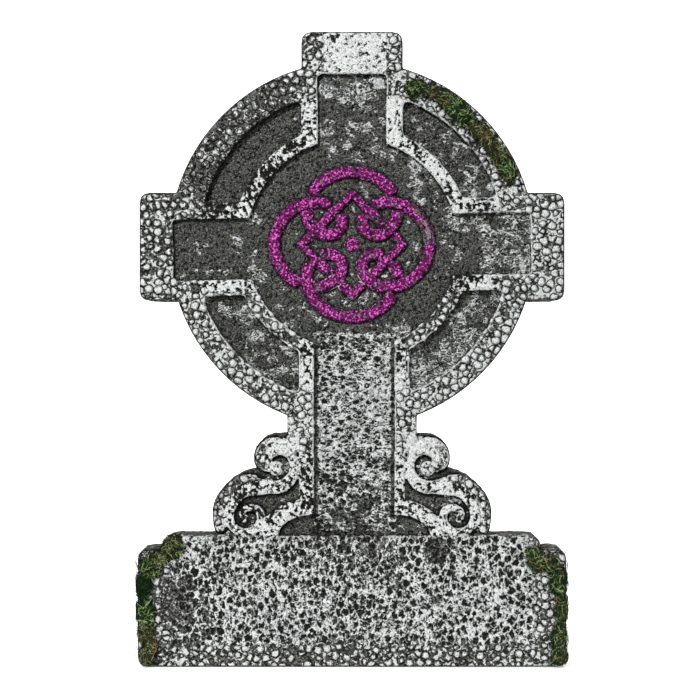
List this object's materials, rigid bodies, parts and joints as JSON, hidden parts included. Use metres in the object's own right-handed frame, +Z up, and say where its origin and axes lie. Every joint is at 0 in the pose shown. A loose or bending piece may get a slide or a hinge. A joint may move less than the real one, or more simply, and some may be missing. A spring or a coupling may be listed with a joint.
{
  "type": "foam tombstone decoration",
  "caption": "Moulded foam yard decoration in the shape of a Celtic cross tombstone: ringed cross with a woven knot, side scrolls, stepped plinth and glued moss.",
  "frame": {"origin": "centre of the flat underside of the plinth", "axes": "+Z up along the shaft of the cross, -Y out of the carved front face, +X towards the right arm as seen from the front"},
  "size_m": [0.3816, 0.049, 0.56],
  "materials": {
    "painted_foam": "charcoal paint on expanded polystyrene foam, dry-brushed in pale grey, with magenta glitter paint on the knot",
    "moss": "dyed dry moss fibres, glued in a thin tangled mat"
  },
  "bodies": {
    "root": {"cross_stone": "painted_foam", "moss_ring": "moss", "moss_plinth_left": "moss", "moss_plinth_right": "moss"}
  },
  "joints": []
}
